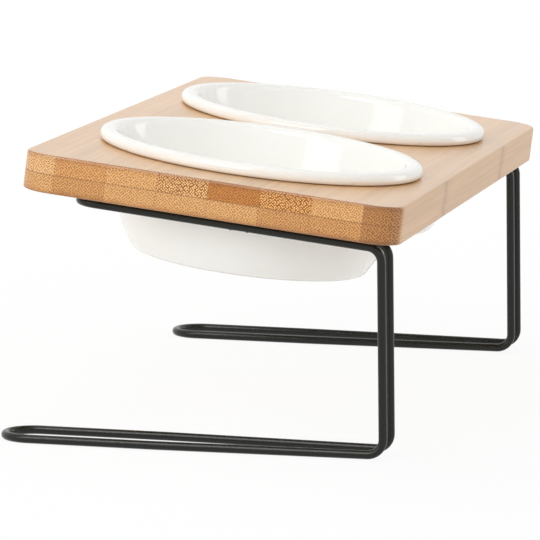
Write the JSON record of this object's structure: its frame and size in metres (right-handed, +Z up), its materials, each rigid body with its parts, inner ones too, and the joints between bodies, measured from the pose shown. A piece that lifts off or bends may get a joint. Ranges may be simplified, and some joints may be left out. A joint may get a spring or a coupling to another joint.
{
  "type": "raised pet bowl stand",
  "caption": "Tilted bamboo board with drop-in glazed ceramic bowls for pet food and water, carried clear of the floor by bent black wire frames.",
  "frame": {"origin": "on the floor, under the middle of the stand's outline", "axes": "+X from the board's high edge to its low edge where the legs stand, +Y along the board across the bowls, +Z up"},
  "size_m": [0.1588, 0.32, 0.1176],
  "materials": {
    "bamboo": "satin lacquer",
    "white_glaze": "gloss",
    "black_coat": "satin",
    "screw_zinc": "zinc plated"
  },
  "bodies": {
    "stand": {"bottom_strip_1": "bamboo", "bottom_strip_2": "bamboo", "bottom_strip_3": "bamboo", "bottom_strip_4": "bamboo", "bottom_strip_5": "bamboo", "bottom_strip_6": "bamboo", "bottom_strip_7": "bamboo", "bottom_strip_8": "bamboo", "far_frame": "black_coat", "far_frame_high_tab": "black_coat", "far_frame_low_tab": "black_coat", "far_frame_screws": "screw_zinc", "near_frame": "black_coat", "near_frame_high_tab": "black_coat", "near_frame_low_tab": "black_coat", "near_frame_screws": "screw_zinc", "top_strip_1": "bamboo", "top_strip_2": "bamboo", "top_strip_3": "bamboo", "top_strip_4": "bamboo", "top_strip_5": "bamboo", "top_strip_6": "bamboo", "top_strip_7": "bamboo", "top_strip_8": "bamboo"},
    "near_bowl_body": {"near_bowl": "white_glaze"},
    "far_bowl_body": {"far_bowl": "white_glaze"}
  },
  "joints": [
    {"name": "near_bowl_lift", "type": "slide", "parent": "stand", "child": "near_bowl_body", "axis": [0.1115, 0, 0.9938], "range_m": [0, 0.06]},
    {"name": "far_bowl_lift", "type": "slide", "parent": "stand", "child": "far_bowl_body", "axis": [0.1115, 0, 0.9938], "range_m": [0, 0.06]}
  ]
}
